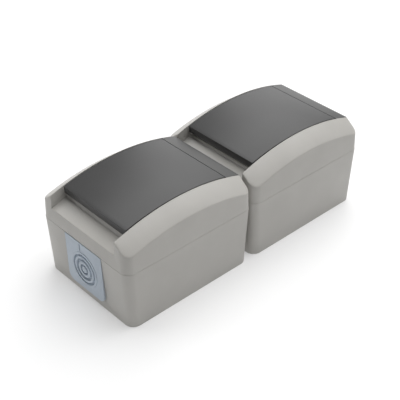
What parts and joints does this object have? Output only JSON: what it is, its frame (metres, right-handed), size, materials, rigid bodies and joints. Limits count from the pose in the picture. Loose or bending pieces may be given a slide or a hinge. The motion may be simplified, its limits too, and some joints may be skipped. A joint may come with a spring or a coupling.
{
  "type": "surface-mounted double earthed socket outlet",
  "caption": "Surface-mounted splash-proof outlet: two grey modules in line, each with an arched top between bevelled cheeks and a dark sprung lid over an earthed plug well.",
  "frame": {"origin": "middle of the back face's outline, on the wall plane", "axes": "+Z out of the wall, Y along the row of modules with the cable entry at -Y, X across; the lids open from their -Y edge"},
  "size_m": [0.0658, 0.1595, 0.0547],
  "materials": {
    "housing": "fine-textured light grey moulding",
    "lid": "satin dark grey moulding",
    "cap": "satin dark grey moulding",
    "well": "satin light grey moulding",
    "entry": "matt blue-grey soft moulding",
    "rubber": "matt black seal",
    "steel": "bright zinc-plated",
    "brass": "plain strip",
    "insulator": "matt thermoset",
    "line_wire": "brown wire insulation",
    "neutral_wire": "blue wire insulation",
    "earth_wire": "green-yellow wire insulation"
  },
  "bodies": {
    "housing": {"base_box_1": "housing", "base_box_2": "housing", "base_gasket_1": "rubber", "base_gasket_2": "rubber", "cover_1": "housing", "cover_2": "housing", "cover_screws_1": "steel", "cover_screws_2": "steel", "hinge_pin_1": "steel", "hinge_pin_2": "steel", "lid_spring_1": "steel", "lid_spring_2": "steel", "hinge_cap_1": "cap", "hinge_cap_2": "cap", "socket_well_1": "well", "socket_well_2": "well", "well_seal_1": "rubber", "well_seal_2": "rubber", "well_screw_1": "steel", "well_screw_2": "steel", "contact_block_1": "insulator", "contact_block_2": "insulator", "block_screws_1": "steel", "block_screws_2": "steel", "line_contact_1": "brass", "line_contact_2": "brass", "neutral_contact_1": "brass", "neutral_contact_2": "brass", "earth_strap_1": "brass", "earth_strap_2": "brass", "terminal_screws_1": "steel", "terminal_screws_2": "steel", "cable_entry": "entry", "blank_entry": "entry", "coupling_sleeve": "housing", "coupling_nut": "housing", "coupling_seal": "rubber", "line_link": "line_wire", "neutral_link": "neutral_wire", "earth_link": "earth_wire"},
    "lid_1": {"lid_1": "lid", "lid_seal_1": "rubber"},
    "lid_2": {"lid_2": "lid", "lid_seal_2": "rubber"}
  },
  "joints": [
    {"name": "lid_1_hinge", "type": "hinge", "parent": "housing", "child": "lid_1", "pos_m": [0, -0.01506, 0.04871], "axis": [-1, 0, 0], "range_deg": [0, 100], "stiffness_Nm_per_rad": 0.012, "springref_deg": -34.38, "deforming": ["lid_spring_1"]},
    {"name": "lid_2_hinge", "type": "hinge", "parent": "housing", "child": "lid_2", "pos_m": [0, 0.06494, 0.04871], "axis": [-1, 0, 0], "range_deg": [0, 100], "stiffness_Nm_per_rad": 0.012, "springref_deg": -34.38, "deforming": ["lid_spring_2"]}
  ]
}
